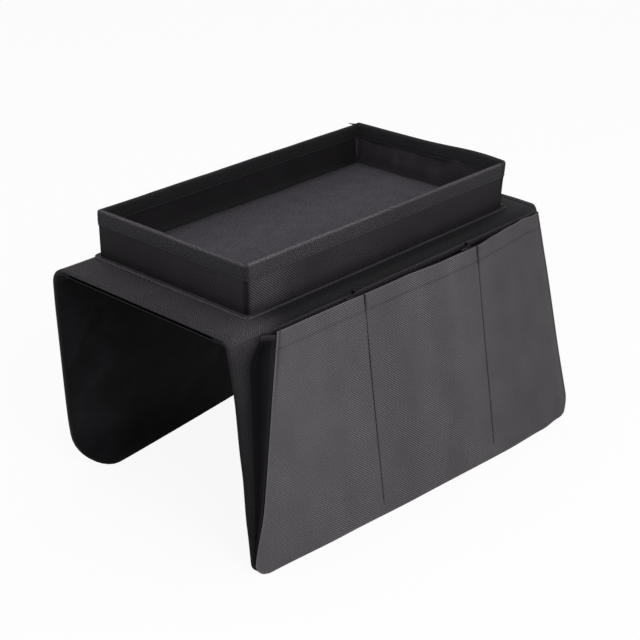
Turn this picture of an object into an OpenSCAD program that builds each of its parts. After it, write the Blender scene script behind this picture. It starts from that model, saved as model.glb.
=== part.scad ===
// Sofa arm tray: a boarded cloth saddle that lies over a sofa's arm, with a boxed cloth tray
// sewn on top, a near flap that carries three pleated pockets, and a plain far flap.
// X runs along the arm, Y across it and Z up. The origin is the middle of the saddle's
// underside, the face that lies on the arm. The near flap is on the -Y side.

/* [Cloth and boards] */
// Thickness of the outer cloth
cloth_t = 1; // [0.8:0.1:1.3]
// Thickness of the lining cloth
lining_t = 0.8; // [0.6:0.1:1.1]
// Thickness of the saddle's stiffening board
saddle_board_t = 2.4; // [1.8:0.1:3]
// Thickness of the board inside each flap
flap_board_t = 2; // [1.4:0.1:2.6]
// Thickness of the boards inside the tray's walls
wall_board_t = 2; // [1.4:0.1:2.6]
// Thickness of the binding tape
tape_t = 0.7; // [0.5:0.1:1]

/* [Saddle] */
// Length of the saddle along the arm
saddle_len = 388; // [376:1:410]
// Width of the saddle, from the near flap's outer face to the far flap's
saddle_w = 212; // [208:1:240]
// Width of the turned hem on each short end
end_hem_w = 7; // [5:0.5:10]
// Bend radius of the near fold
near_bend_r = 8; // [7:0.5:9]
// Bend radius of the far fold
far_bend_r = 10; // [8:0.5:12]

/* [Tray] */
// Length of the tray outside its walls
tray_len = 320; // [280:1:350]
// Width of the tray outside its walls
tray_w = 176; // [150:1:177]
// Height of the tray above the saddle
tray_h = 42; // [30:1:60]
// Sewn position of the tray along the arm, from the middle
tray_x = 5; // [0:0.5:8]
// Sewn position of the tray across the arm, from the middle
tray_y = 3; // [0:0.5:3]
// Outside radius of the tray's corners
tray_corner_r = 5; // [4.8:0.1:9]
// Depth of the binding over the rim
rim_depth = 13; // [8:0.5:18]
// Width of the welt that sews the tray down
welt_w = 4.5; // [3:0.5:4.5]
// Thickness of the welt
welt_t = 1; // [0.8:0.1:1.5]
// Thickness of the board in the tray's floor
floor_board_t = 2; // [1:0.1:3]
// Thickness of the brushed mat on the tray's floor
floor_mat_t = 3; // [2:0.5:6]
// Clearance around the floor board and the mat
floor_gap = 0.3; // [0.2:0.1:0.5]

/* [Flaps] */
// Drop from the saddle's underside to the flaps' bottom edges
flap_drop = 184; // [165:1:200]
// Width of the hem round a flap's edge
flap_hem_w = 4; // [3:0.5:5]
// Outward lean of the near flap at the middle of its width
near_lean = 12.5; // [8:0.5:14]
// Lean that the near flap gains from its middle to its right end
near_twist = 3.5; // [0:0.5:4]
// Outward lean of the far flap at the middle of its width
far_lean = -1; // [-2:0.5:3]
// Lean that the far flap gains from its middle to its right end
far_twist = 4; // [0:0.5:4]
// Radius of the near flap's left bottom corner
near_left_r = 8; // [6:1:20]
// Radius of the near flap's right bottom corner
near_right_r = 20; // [10:1:30]
// Radius of the far flap's bottom corners
far_corner_r = 34; // [15:1:40]

/* [Pockets] */
// Thickness of a pocket front
front_t = 1.2; // [1:0.1:1.5]
// Position of the seam between the left and middle pockets
seam_left_x = -62; // [-75:1:-50]
// Position of the seam between the middle and right pockets
seam_right_x = 78; // [65:1:90]
// How far the pockets' left end lies in from the flap's edge at the mouth
left_tuck = 34; // [28:1:42]
// How far the left gusset is sewn in from the flap's edge at the mouth
gusset_tuck = 18; // [12:1:22]
// How far the pockets' fronts lie in from the flap's edges at the bottom
bottom_inset = 1.5; // [1:0.5:3]
// How far a pocket mouth stands off the flap
mouth_gap = 14; // [10:0.5:18]
// How far the mouth stands off at the right end, where it is sewn shut
mouth_end_gap = 2.8; // [2.8:0.2:6]
// Outward crown of a pocket front at its middle
front_crown = 3; // [1:0.5:5]
// Height of a pocket front's bottom edge above the flap's bottom edge
front_lift = 1; // [0.5:0.5:3]
// Depth of the hem along each pocket mouth
mouth_hem_h = 13; // [8:1:16]
// Depth of the pleated dividers folded in behind the seams
pleat_depth = 20; // [12:1:26]
// Length of the pleats down from the mouth
pleat_len = 128; // [100:1:130]

/* [Fits] */
// Gap between a pocket front and what it moves against
run_gap = 0.4; // [0.3:0.05:0.5]
// Gap between two pocket fronts at their seam
seam_gap = 0.6; // [0.4:0.1:1]

/* [Hidden] */

black = "#2b2b2d";
charcoal = "#3a393c";
lining_black = "#161618";
mat_grey = "#454349";
board_grey = "#8b8478";
tape_black = "#303033";

NEAR = -1;
FAR = 1;
saddle_t = cloth_t + saddle_board_t + lining_t;
flap_t = cloth_t + flap_board_t + lining_t;
wall_t = cloth_t + wall_board_t + lining_t;
half_len = saddle_len / 2;
half_w = saddle_w / 2;
near_flat_y = -(half_w - near_bend_r);
far_flat_y = half_w - far_bend_r;
tray_top_z = saddle_t + tray_h;
cut = 1;
front_bottom = flap_drop - front_lift;

// Depths, measured outward from a flap's outer face, of the joints between its layers
face_back = -cloth_t;
board_back = -(cloth_t + flap_board_t);
lining_back = -flap_t;

// Depth below the saddle's underside at which a flap's boards start
function flap_top(side) = (side == NEAR ? near_bend_r : far_bend_r) - saddle_t;
function lean(side, x) = side == NEAR ? near_lean + near_twist * x / half_len
                                      : far_lean + far_twist * x / half_len;
// Point on a flap: x along it, v down from the underside, d outward from its outer face
function flap_point(side, x, v, d) =
    [x, side * (half_w + (v - flap_top(side)) * tan(lean(side, x)) + d), -v];

// Half of a flap's outline, drawn in by inset, at depth v: distance of the edge from the middle
function edge_x(r, inset, v) =
    v <= flap_drop - r ? half_len - inset
                       : half_len - r + sqrt(max(0, pow(r - inset, 2) - pow(v - flap_drop + r, 2)));
function left_r(side) = side == NEAR ? near_left_r : far_corner_r;
function right_r(side) = side == NEAR ? near_right_r : far_corner_r;

ROWS_STRAIGHT = 3;
ROWS_CORNER = 6;
COLUMNS = 8;
// Depths of a flap's rows of points: even down the straight edge, then round the corner
function row_depths(side, inset) =
    let (r = max(left_r(side), right_r(side)), top = flap_top(side), bend = flap_drop - r)
    concat([for (i = [0:ROWS_STRAIGHT - 1]) top + (bend - top) * i / ROWS_STRAIGHT],
           [for (i = [0:ROWS_CORNER]) bend + (r - inset) * sin(90 * i / ROWS_CORNER)]);
function row_left(side, inset, v) = -edge_x(left_r(side), inset, v);
function row_right(side, inset, v) = edge_x(right_r(side), inset, v);

function mix(a, b, t) = a + (b - a) * t;
function flat(rows) = [for (row = rows) for (p = row) p];

// Grid of points over a flap, drawn in by inset, at depth d from its outer face
function flap_grid(side, inset, d) =
    [for (v = row_depths(side, inset))
        [for (i = [0:COLUMNS])
            flap_point(side, mix(row_left(side, inset, v), row_right(side, inset, v), i / COLUMNS),
                       v, d)]];

// Two triangles of one square of a grid, turned over when flip is true
function square_faces(a, b, c, d, flip) =
    flip ? [[a, c, b], [a, d, c]] : [[a, b, c], [a, c, d]];

// Closed solid between two grids of points with as many rows and columns each
module sheet(front, back, flip) {
    rows = len(front);
    cols = len(front[0]);
    n = rows * cols;
    skins = [for (j = [0:rows - 2]) for (i = [0:cols - 2])
        let (a = j * cols + i, b = a + 1, c = a + cols + 1, d = a + cols)
        each concat(square_faces(a, b, c, d, flip),
                    square_faces(n + a, n + b, n + c, n + d, !flip))];
    ends = [for (i = [0:cols - 2])
        let (a = i, b = (rows - 1) * cols + i)
        each concat(square_faces(a, n + a, n + a + 1, a + 1, flip),
                    square_faces(b, b + 1, n + b + 1, n + b, flip))];
    sides = [for (j = [0:rows - 2])
        let (a = j * cols, b = a + cols - 1)
        each concat(square_faces(a, a + cols, n + a + cols, n + a, flip),
                    square_faces(b, n + b, n + b + cols, b + cols, flip))];
    polyhedron(points = concat(flat(front), flat(back)), faces = concat(skins, ends, sides));
}

// Closed solid swept through rings of points, with caps made of the squares in cap
module sweep(rings, cap, flip) {
    n = len(rings[0]);
    last = (len(rings) - 1) * n;
    walls = [for (k = [0:len(rings) - 2]) for (i = [0:n - 1])
        let (a = k * n + i, b = k * n + (i + 1) % n)
        each square_faces(a, b, b + n, a + n, flip)];
    caps = [for (q = cap)
        each concat(square_faces(q[0], q[3], q[2], q[1], flip),
                    square_faces(last + q[0], last + q[1], last + q[2], last + q[3], flip))];
    polyhedron(points = flat(rings), faces = concat(walls, caps));
}

module flap_layer(side, front_d, back_d) {
    sheet(flap_grid(side, flap_hem_w, front_d), flap_grid(side, flap_hem_w, back_d), side == FAR);
}

// Stations round a flap's hem: x, depth and the outward direction at its inner edge
function corner_station(side, v, hand) =
    let (r = hand < 0 ? left_r(side) : right_r(side),
         x = hand * edge_x(r, flap_hem_w, v),
         turn = max(0, v - flap_drop + r))
    [x, v, turn > 0 ? (x - hand * (half_len - r)) / (r - flap_hem_w) : hand,
     turn / (r - flap_hem_w)];
function hem_stations(side) =
    let (depths = row_depths(side, flap_hem_w), last = len(depths) - 1, v = depths[last],
         x0 = row_left(side, flap_hem_w, v), x1 = row_right(side, flap_hem_w, v))
    concat([for (j = [0:last]) corner_station(side, depths[j], -1)],
           [for (i = [1:COLUMNS - 1]) [mix(x0, x1, i / COLUMNS), v, 0, 1]],
           [for (j = [last:-1:0]) corner_station(side, depths[j], 1)]);

module flap_hem(side) {
    rings = [for (s = hem_stations(side))
        let (x = s[0] + flap_hem_w * s[2], v = s[1] + flap_hem_w * s[3])
        [flap_point(side, s[0], s[1], 0), flap_point(side, x, v, 0),
         flap_point(side, x, v, lining_back), flap_point(side, s[0], s[1], lining_back)]];
    sweep(rings, [[0, 1, 2, 3]], side == NEAR);
}

// Rectangle with round corners
module round_rect(l, w, r) {
    square([l - 2 * r, w], center = true);
    square([l, w - 2 * r], center = true);
    for (sx = [-1, 1], sy = [-1, 1])
        translate([sx * (l / 2 - r), sy * (w / 2 - r)]) circle(r, $fn = 48);
}
// Upright ring between two insets of the tray's outline
module tray_ring(outer_inset, inner_inset, z0, z1) {
    translate([tray_x, tray_y, z0]) linear_extrude(z1 - z0) difference() {
        round_rect(tray_len - 2 * outer_inset, tray_w - 2 * outer_inset, tray_corner_r - outer_inset);
        round_rect(tray_len - 2 * inner_inset, tray_w - 2 * inner_inset, tray_corner_r - inner_inset);
    }
}
// Part of the saddle between its end hems, from height z0 to height z1
module saddle_layer(z0, z1) {
    translate([-(half_len - end_hem_w), near_flat_y, z0])
        cube([saddle_len - 2 * end_hem_w, far_flat_y - near_flat_y, z1 - z0]);
}
module saddle_hem(hand) {
    x = hand < 0 ? -half_len : half_len - end_hem_w;
    translate([x, near_flat_y, 0]) cube([end_hem_w, far_flat_y - near_flat_y, saddle_t]);
}
// Cloth that turns from the saddle down into a flap: a quarter of a tube along X
module fold_cloth(side) {
    r = side == NEAR ? near_bend_r : far_bend_r;
    skin = cloth_t + lining_t;
    y = side == NEAR ? near_flat_y : far_flat_y;
    translate([-half_len, y, saddle_t - r]) rotate([90, 0, 90]) intersection() {
        difference() {
            cylinder(h = saddle_len, r = r, $fn = 64);
            translate([0, 0, -cut]) cylinder(h = saddle_len + 2 * cut, r = r - skin, $fn = 64);
        }
        translate([side == NEAR ? -r - cut : 0, 0, -cut]) cube([r + cut, r + cut, saddle_len + 2 * cut]);
    }
}

module saddle_cover() { color(black) saddle_layer(saddle_t - cloth_t, saddle_t); }
module saddle_board() { color(board_grey) saddle_layer(lining_t, saddle_t - cloth_t); }
module saddle_lining() { color(lining_black) saddle_layer(0, lining_t); }
module saddle_hem_left() { color(charcoal) saddle_hem(-1); }
module saddle_hem_right() { color(charcoal) saddle_hem(1); }
module near_fold_cloth() { color(black) fold_cloth(NEAR); }
module far_fold_cloth() { color(black) fold_cloth(FAR); }

module tray_floor(z0, t) {
    inset = wall_t + floor_gap;
    translate([tray_x, tray_y, z0]) linear_extrude(t)
        round_rect(tray_len - 2 * inset, tray_w - 2 * inset, tray_corner_r - wall_t);
}
module tray_floor_board() { color(board_grey) tray_floor(saddle_t, floor_board_t); }
module tray_floor_mat() { color(mat_grey) tray_floor(saddle_t + floor_board_t, floor_mat_t); }

// Board inside a wall of the tray, between the round corners
module wall_board(along_x, hand) {
    l = (along_x ? tray_len : tray_w) - 2 * tray_corner_r;
    reach = (along_x ? tray_w : tray_len) / 2 - cloth_t - wall_board_t / 2;
    h = tray_h - tape_t;
    translate([tray_x, tray_y, saddle_t + h / 2]) rotate(along_x ? 0 : 90)
        translate([0, hand * reach, 0]) cube([l, wall_board_t, h], center = true);
}
module tray_board_near() { color(board_grey) wall_board(true, -1); }
module tray_board_far() { color(board_grey) wall_board(true, 1); }
module tray_board_left() { color(board_grey) wall_board(false, 1); }
module tray_board_right() { color(board_grey) wall_board(false, -1); }
module tray_outer_cloth() { color(black) tray_ring(0, cloth_t, saddle_t, tray_top_z - tape_t); }
module tray_inner_cloth() {
    color(lining_black) tray_ring(cloth_t + wall_board_t, wall_t, saddle_t, tray_top_z - tape_t);
}
module tray_rim_binding() {
    low = tray_top_z - rim_depth;
    color(tape_black) {
        tray_ring(-tape_t, 0, low, tray_top_z);
        tray_ring(0, wall_t, tray_top_z - tape_t, tray_top_z);
        tray_ring(wall_t, wall_t + tape_t, low, tray_top_z);
    }
}
module tray_welt() { color(charcoal) tray_ring(-welt_w, 0, saddle_t, saddle_t + welt_t); }

module near_flap_face() { color(black) flap_layer(NEAR, 0, face_back); }
module near_flap_board() { color(board_grey) flap_layer(NEAR, face_back, board_back); }
module near_flap_lining() { color(lining_black) flap_layer(NEAR, board_back, lining_back); }
module near_flap_hem() { color(charcoal) flap_hem(NEAR); }
module far_flap_face() { color(black) flap_layer(FAR, 0, face_back); }
module far_flap_board() { color(board_grey) flap_layer(FAR, face_back, board_back); }
module far_flap_lining() { color(lining_black) flap_layer(FAR, board_back, lining_back); }
module far_flap_hem() { color(charcoal) flap_hem(FAR); }

// The pockets' ends: their left and right edges at depth v, before the corners round them off
function pockets_left(v) =
    let (slant = mix(half_len - left_tuck, half_len - bottom_inset, v / front_bottom))
    -min(slant, edge_x(near_left_r, bottom_inset, v));
function pockets_right(v) = edge_x(near_right_r, bottom_inset, v);
// Edges of each pocket front at depth v
function front_left(p, v) =
    p == 0 ? pockets_left(v) : (p == 1 ? seam_left_x : seam_right_x) + seam_gap / 2;
function front_right(p, v) =
    p == 2 ? pockets_right(v) : (p == 0 ? seam_left_x : seam_right_x) - seam_gap / 2;
// Stand-off of a pocket front's back from the flap: t goes from 0 at the mouth to 1 at the bottom
function mouth_off(x) =
    x <= seam_right_x ? mouth_gap
        : mix(mouth_end_gap, mouth_gap, cos(90 * (x - seam_right_x) / (half_len - seam_right_x)));
function front_back(p, s, t, x) =
    mix(mouth_off(x) - front_t, run_gap, t)
    + front_crown * sin(180 * s) * sin(180 * t);

FRONT_ROWS = 5;
FRONT_CORNER_ROWS = 3;
FRONT_COLUMNS = 8;
// Depths of a front's rows: the mouth, its hem, even down the front, then round the corner
function front_depths() =
    let (bend = flap_drop - near_right_r)
    concat([0], [for (i = [0:FRONT_ROWS]) mix(mouth_hem_h, bend, i / FRONT_ROWS)],
           [for (i = [1:FRONT_CORNER_ROWS])
               bend + (front_bottom - bend) * sin(90 * i / FRONT_CORNER_ROWS)]);
function front_grid(p, depths, d) =
    [for (v = depths)
        [for (i = [0:FRONT_COLUMNS])
            let (s = i / FRONT_COLUMNS, x = mix(front_left(p, v), front_right(p, v), s))
            flap_point(NEAR, x, v, front_back(p, s, v / front_bottom, x) + d)]];
module pocket_front(p) {
    sheet(front_grid(p, front_depths(), front_t), front_grid(p, front_depths(), 0), false);
}
// Hem turned in behind a pocket's mouth
module mouth_hem(p) {
    rows = [0, mouth_hem_h];
    sheet(front_grid(p, rows, 0), front_grid(p, rows, -tape_t), false);
}
SIDE_ROWS = 6;
// Depths of the rows of a gusset or a pleat
function side_depths() = [for (i = [0:SIDE_ROWS]) pleat_len * i / SIDE_ROWS];
// Height over the flap at which a gusset or a pleat meets the back of front p, hem and all
function side_off(p, v, x) = front_back(p, 0, v / front_bottom, x) - tape_t - run_gap / 2;
// Divider at the right edge of front p, folded in behind it: a V in plan, sewn to the front's
// back and to the flap
module pleat(p) {
    fold = pleat_depth - lining_t;
    rings = [for (v = side_depths())
        let (x = front_right(p, v), top = side_off(p, v, x), low = run_gap / 2,
             mid = (top + low) / 2)
        [flap_point(NEAR, x, v, top), flap_point(NEAR, x - pleat_depth, v, mid),
         flap_point(NEAR, x, v, low), flap_point(NEAR, x, v, low + lining_t),
         flap_point(NEAR, x - fold, v, mid), flap_point(NEAR, x, v, top - lining_t)]];
    sweep(rings, [[0, 1, 4, 5], [1, 2, 3, 4]], false);
}
// Strip from the flap out to the left edge of the left pocket's front
module left_gusset() {
    rings = [for (v = side_depths())
        let (foot = mix(half_len - gusset_tuck, half_len - bottom_inset, v / front_bottom),
             x = front_left(0, v), top = side_off(0, v, x), low = run_gap / 2)
        [flap_point(NEAR, x, v, top), flap_point(NEAR, -foot, v, low),
         flap_point(NEAR, -foot + lining_t, v, low), flap_point(NEAR, x + lining_t, v, top)]];
    sweep(rings, [[0, 1, 2, 3]], true);
}
module pocket_left() { color(charcoal) pocket_front(0); }
module pocket_middle() { color(charcoal) pocket_front(1); }
module pocket_right() { color(charcoal) pocket_front(2); }
module mouth_hem_left() { color(charcoal) mouth_hem(0); }
module mouth_hem_middle() { color(charcoal) mouth_hem(1); }
module mouth_hem_right() { color(charcoal) mouth_hem(2); }
module gusset_left() { color(black) left_gusset(); }
module pleat_left() { color(black) pleat(0); }
module pleat_right() { color(black) pleat(1); }

saddle_cover();
saddle_board();
saddle_lining();
saddle_hem_left();
saddle_hem_right();
near_fold_cloth();
far_fold_cloth();
tray_floor_board();
tray_floor_mat();
tray_board_near();
tray_board_far();
tray_board_left();
tray_board_right();
tray_outer_cloth();
tray_inner_cloth();
tray_rim_binding();
tray_welt();
near_flap_face();
near_flap_board();
near_flap_lining();
near_flap_hem();
far_flap_face();
far_flap_board();
far_flap_lining();
far_flap_hem();
pocket_left();
pocket_middle();
pocket_right();
mouth_hem_left();
mouth_hem_middle();
mouth_hem_right();
gusset_left();
pleat_left();
pleat_right();
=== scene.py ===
import bmesh
import bpy
import math
from mathutils import Matrix, Vector, noise


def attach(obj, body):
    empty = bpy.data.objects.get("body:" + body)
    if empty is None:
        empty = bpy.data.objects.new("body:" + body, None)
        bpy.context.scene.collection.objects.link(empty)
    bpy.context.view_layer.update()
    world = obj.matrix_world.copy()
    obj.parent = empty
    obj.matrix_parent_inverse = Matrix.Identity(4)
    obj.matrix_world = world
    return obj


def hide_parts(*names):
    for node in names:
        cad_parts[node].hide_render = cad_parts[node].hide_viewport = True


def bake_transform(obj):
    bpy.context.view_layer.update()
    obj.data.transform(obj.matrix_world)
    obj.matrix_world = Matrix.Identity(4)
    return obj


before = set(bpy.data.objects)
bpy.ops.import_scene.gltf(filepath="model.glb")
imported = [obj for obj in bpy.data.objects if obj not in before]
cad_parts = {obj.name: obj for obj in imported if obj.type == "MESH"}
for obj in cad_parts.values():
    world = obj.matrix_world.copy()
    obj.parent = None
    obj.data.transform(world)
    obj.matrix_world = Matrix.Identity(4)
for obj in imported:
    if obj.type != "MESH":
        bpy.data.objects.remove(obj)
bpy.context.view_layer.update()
MM = 0.001

# ---- Sizes in millimetres, as the saddle, tray, flaps and pockets are sewn ----
HALF_LEN = 194
SADDLE_T = 4.2
FLAP_T = 3.8
FLAP_DROP = 184
END_HEM = 7
FLAP_HEM = 2.6
TRAY_MID = (5, 3)
TRAY_HALF = (160, 88)
TRAY_CORNER = 2.4
RIM_Z = 46.2
RIM_DEPTH = 13
FRONT_T = 1.2
MOUTH_HEM = 13
PLEAT_LEN = 150
GUSSET_LEN = 175


def mix(a, b, t):
    return a + (b - a) * t


def ease(t):
    t = min(1, max(0, t))
    return t * t * (3 - 2 * t)


def bump(x, middle, width):
    """A smooth hill of height 1 over middle."""
    return math.exp(-((x - middle) / width) ** 2)


def ruffle(x, y, z, size, seed=0):
    """Soft unevenness from -1 to 1, with hills about size millimetres across."""
    return noise.noise(Vector((x / size + 17.3 * seed, y / size - 9.1 * seed, z / size + 3.7)))


def between(knots, t):
    """Point at t, from 0 to 1, on the run of straight lines through knots spaced evenly."""
    place = t * (len(knots) - 1)
    k = min(int(place), len(knots) - 2)
    return [mix(a, b, place - k) for a, b in zip(knots[k], knots[k + 1])]


def along(pairs, x):
    """Value at x of a smooth run through pairs of (place, value)."""
    if x <= pairs[0][0]:
        return pairs[0][1]
    for (a, low), (b, high) in zip(pairs, pairs[1:]):
        if x <= b:
            return mix(low, high, ease((x - a) / (b - a)))
    return pairs[-1][1]


# ---- Cloth as a grid of points ----
def finished(name, bm, finish, sharp=50):
    bm.normal_update()
    for face in bm.faces:
        face.smooth = True
    mesh = bpy.data.meshes.new(name)
    bm.to_mesh(mesh)
    bm.free()
    mesh.set_sharp_from_angle(angle=math.radians(sharp))
    mesh.materials.append(finish)
    piece = bpy.data.objects.new(name, mesh)
    bpy.context.scene.collection.objects.link(piece)
    return piece


def no_painted_light(i, j):
    return 1, 1


def cloth(name, columns, rows, place, lay, thick, finish, painted_light_and_ribs=no_painted_light, closed=False):
    """Sheet of cloth. place(i, j) is a point of its shown side, lay(i, j, middle_i) the same
    point on the flat cloth, both in millimetres. The third function gives at (i, j) the light and
    shade painted into the cloth's colour and how much its ribs stand out, against 1 for the plain
    cloth. Its thickness goes in behind."""
    bm = bmesh.new()
    chart = bm.loops.layers.uv.new("UVMap")
    painted_light = bm.verts.layers.float_color.new("painted_light_and_ribs")
    bmesh.ops.create_grid(bm, x_segments=columns, y_segments=rows, size=0.5, calc_uvs=True)

    def step(co):
        return (co.x + 0.5) * columns, (co.y + 0.5) * rows

    for face in bm.faces:
        middle = step(face.calc_center_median())[0]
        for loop in face.loops:
            i, j = (round(c) for c in step(loop.vert.co))
            loop[chart].uv = Vector(lay(i, j, middle)) * MM
    for vert in bm.verts:
        i, j = (round(c) for c in step(vert.co))
        vert[painted_light] = (*painted_light_and_ribs(i, j), 0, 1)
        vert.co = Vector(place(i, j)) * MM
    if closed:
        bmesh.ops.remove_doubles(bm, verts=bm.verts, dist=1e-6)
    bmesh.ops.solidify(bm, geom=bm.faces[:], thickness=thick * MM)
    return finished(name, bm, finish)


def stitches(name, rows, finish, length=2.6, pitch=3.6, girth=0.5):
    """Rows of sewn stitches. Each row is a run of (point, outward direction) in millimetres."""
    bm = bmesh.new()
    for row in rows:
        spots = [Vector(p) for p, _ in row]
        gone = 0
        due = pitch / 2
        for a, b, facing in zip(spots, spots[1:], [Vector(n) for _, n in row]):
            span = (b - a).length
            while due <= gone + span:
                way = (b - a).normalized()
                side = facing.cross(way).normalized()
                turn = Matrix((way, side, way.cross(side))).transposed().to_4x4()
                size = Matrix.Diagonal((length / 2, girth / 2, girth / 2.4, 1))
                spot = Matrix.Translation(a + way * (due - gone))
                bmesh.ops.create_icosphere(bm, subdivisions=1, radius=MM,
                                           matrix=Matrix.Scale(MM, 4) @ spot @ turn @ size
                                           @ Matrix.Scale(1 / MM, 4))
                due += pitch
            gone += span
    return finished(name, bm, finish, 180)


# ---- Materials ----
def linear(code):
    parts = [int(code[i:i + 2], 16) / 255 for i in (1, 3, 5)]
    return [c / 12.92 if c <= 0.04045 else ((c + 0.055) / 1.055) ** 2.4 for c in parts] + [1]


def add(tree, kind, inputs=(), **settings):
    """Adds a shader node, with its settings and with values or links for its inputs."""
    node = tree.nodes.new("ShaderNode" + kind)
    for name, value in settings.items():
        setattr(node, name, value)
    for name, value in dict(inputs).items():
        if isinstance(value, bpy.types.NodeSocket):
            tree.links.new(value, node.inputs[name])
        else:
            node.inputs[name].default_value = value
    return node


def new_material(name, **sockets):
    finish = bpy.data.materials.new(name)
    finish.use_nodes = True
    shader = finish.node_tree.nodes["Principled BSDF"]
    for socket, value in sockets.items():
        shader.inputs[socket.replace("_", " ")].default_value = value
    return finish, finish.node_tree, shader


def chart_and_painted_light(tree):
    """The piece's flat chart, and the light and shade painted on it and how ribbed it is at each
    point.
    """
    flat = add(tree, "UVMap", uv_map="UVMap").outputs["UV"]
    painted_light = add(tree, "Attribute", attribute_name="painted_light_and_ribs").outputs["Color"]
    split = add(tree, "SeparateColor", {"Color": painted_light})
    return flat, split.outputs["Red"], split.outputs["Green"]


WAVE = 2 * math.pi / 20  # a wave texture of this scale has a period of one metre


def oxford(name, shade, ribs, slant, beads=0.3, grain=0.12, pitch=1.65, shine=0.1, rough=0.75):
    """Polyester oxford woven with a raised slanting rib, one every 1.65 mm. The ribs are bumped,
    and
    also painted into the colour: painted light on the ribs' threads, painted shade in the gaps
    between them. ribs is how far the two differ, beads how far the ribs break up into their
    threads, and grain how unevenly bright the threads are."""
    finish, tree, shader = new_material(name, Specular_IOR_Level=shine, Roughness=rough)
    flat, light, ribbed = chart_and_painted_light(tree)
    turned = add(tree, "Mapping", {"Vector": flat, "Rotation": (0, 0, -math.radians(slant))})
    rib = add(tree, "TexWave", {"Vector": turned.outputs[0], "Scale": WAVE / (pitch * MM),
                                "Distortion": 0.6, "Detail": 1, "Detail Scale": 0.5})
    cross = add(tree, "TexWave", {"Vector": turned.outputs[0], "Scale": WAVE / (1.35 * MM),
                                  "Distortion": 2, "Detail": 1}, bands_direction="Y")
    threads = add(tree, "TexNoise", {"Vector": flat, "Scale": 850, "Detail": 1})
    patches = add(tree, "TexNoise", {"Vector": flat, "Scale": 30, "Detail": 3})
    swing = add(tree, "Math", {0: rib.outputs["Fac"], 1: 2, 2: -1}, operation="MULTIPLY_ADD")
    whole = add(tree, "MapRange", {"Value": cross.outputs["Fac"], "To Min": 1 - beads})
    beaded = add(tree, "Math", {0: swing.outputs[0], 1: whole.outputs[0]}, operation="MULTIPLY")
    uneven = add(tree, "MapRange", {"Value": patches.outputs["Fac"], "From Min": 0.35,
                                    "From Max": 0.62, "To Min": 0.55 * ribs, "To Max": ribs})
    depth = add(tree, "Math", {0: ribbed, 1: uneven.outputs[0]}, operation="MULTIPLY")
    # relief scales the colour: painted light on the ribs, painted shade in the gaps between them
    relief = add(tree, "Math", {0: beaded.outputs[0], 1: depth.outputs[0], 2: 1},
                 operation="MULTIPLY_ADD")
    speck = add(tree, "MapRange", {"Value": threads.outputs["Fac"], "From Min": 0.3,
                                   "From Max": 0.7, "To Min": 1 - grain, "To Max": 1 + grain})
    soft = add(tree, "MapRange", {"Value": patches.outputs["Fac"], "From Min": 0.3,
                                  "From Max": 0.7, "To Min": 0.92, "To Max": 1.08})
    tone = light
    for part in (relief, speck, soft):
        tone = add(tree, "Math", {0: tone, 1: part.outputs[0]}, operation="MULTIPLY").outputs[0]
    dyed = add(tree, "VectorMath", {0: linear(shade)[:3], "Scale": tone}, operation="SCALE")
    tree.links.new(dyed.outputs[0], shader.inputs["Base Color"])
    raised = add(tree, "Math", {0: rib.outputs["Fac"], 1: ribbed}, operation="MULTIPLY")
    bent = add(tree, "Bump", {"Height": raised.outputs[0], "Strength": 0.4,
                              "Distance": 0.2 * MM})
    tree.links.new(bent.outputs[0], shader.inputs["Normal"])
    return finish


def lining(name, dark, light):
    """Thin plain-woven polyester lining: smooth, with a faint satin shine and fine creases."""
    finish, tree, shader = new_material(name, Specular_IOR_Level=0.06, Roughness=0.55)
    flat, lit, _ = chart_and_painted_light(tree)
    creases = add(tree, "TexNoise", {"Vector": flat, "Scale": 26, "Detail": 3,
                                     "Roughness": 0.5, "Distortion": 0.9})
    weave = add(tree, "TexNoise", {"Vector": flat, "Scale": 900, "Detail": 1})
    shade = add(tree, "MapRange", {"Value": creases.outputs["Fac"], "From Min": 0.4,
                                   "From Max": 0.72})
    tone = add(tree, "Mix", {"Factor": shade.outputs[0], "A": linear(dark), "B": linear(light)},
               data_type="RGBA")
    dyed = add(tree, "VectorMath", {0: tone.outputs["Result"], "Scale": lit}, operation="SCALE")
    tree.links.new(dyed.outputs[0], shader.inputs["Base Color"])
    fine = add(tree, "Bump", {"Height": weave.outputs["Fac"], "Strength": 0.3,
                              "Distance": 0.1 * MM})
    relief = add(tree, "Bump", {"Height": creases.outputs["Fac"], "Strength": 0.5,
                                "Distance": 1.5 * MM, "Normal": fine.outputs[0]})
    tree.links.new(relief.outputs[0], shader.inputs["Normal"])
    return finish


def brushed(name, low, high):
    """Brushed twill: a short raised nap that blurs the ribs under it into flecks."""
    finish, tree, shader = new_material(name, Specular_IOR_Level=0.1, Roughness=0.95)
    flat, lit, _ = chart_and_painted_light(tree)
    turned = add(tree, "Mapping", {"Vector": flat, "Rotation": (0, 0, math.radians(45)),
                                   "Scale": (1, 0.5, 1)})
    flecks = add(tree, "TexNoise", {"Vector": turned.outputs[0], "Scale": 820, "Detail": 2,
                                    "Roughness": 0.6})
    nap = add(tree, "TexNoise", {"Vector": flat, "Scale": 70, "Detail": 4})
    blend = add(tree, "Math", {0: nap.outputs["Fac"], 1: 0.3, 2: flecks.outputs["Fac"]},
                operation="MULTIPLY_ADD")
    shade = add(tree, "MapRange", {"Value": blend.outputs[0], "From Min": 0.42,
                                   "From Max": 0.92})
    tone = add(tree, "Mix", {"Factor": shade.outputs[0], "A": linear(low), "B": linear(high)},
               data_type="RGBA")
    dyed = add(tree, "VectorMath", {0: tone.outputs["Result"], "Scale": lit}, operation="SCALE")
    tree.links.new(dyed.outputs[0], shader.inputs["Base Color"])
    relief = add(tree, "Bump", {"Height": flecks.outputs["Fac"], "Strength": 0.5,
                                "Distance": 0.3 * MM})
    tree.links.new(relief.outputs[0], shader.inputs["Normal"])
    return finish


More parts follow.
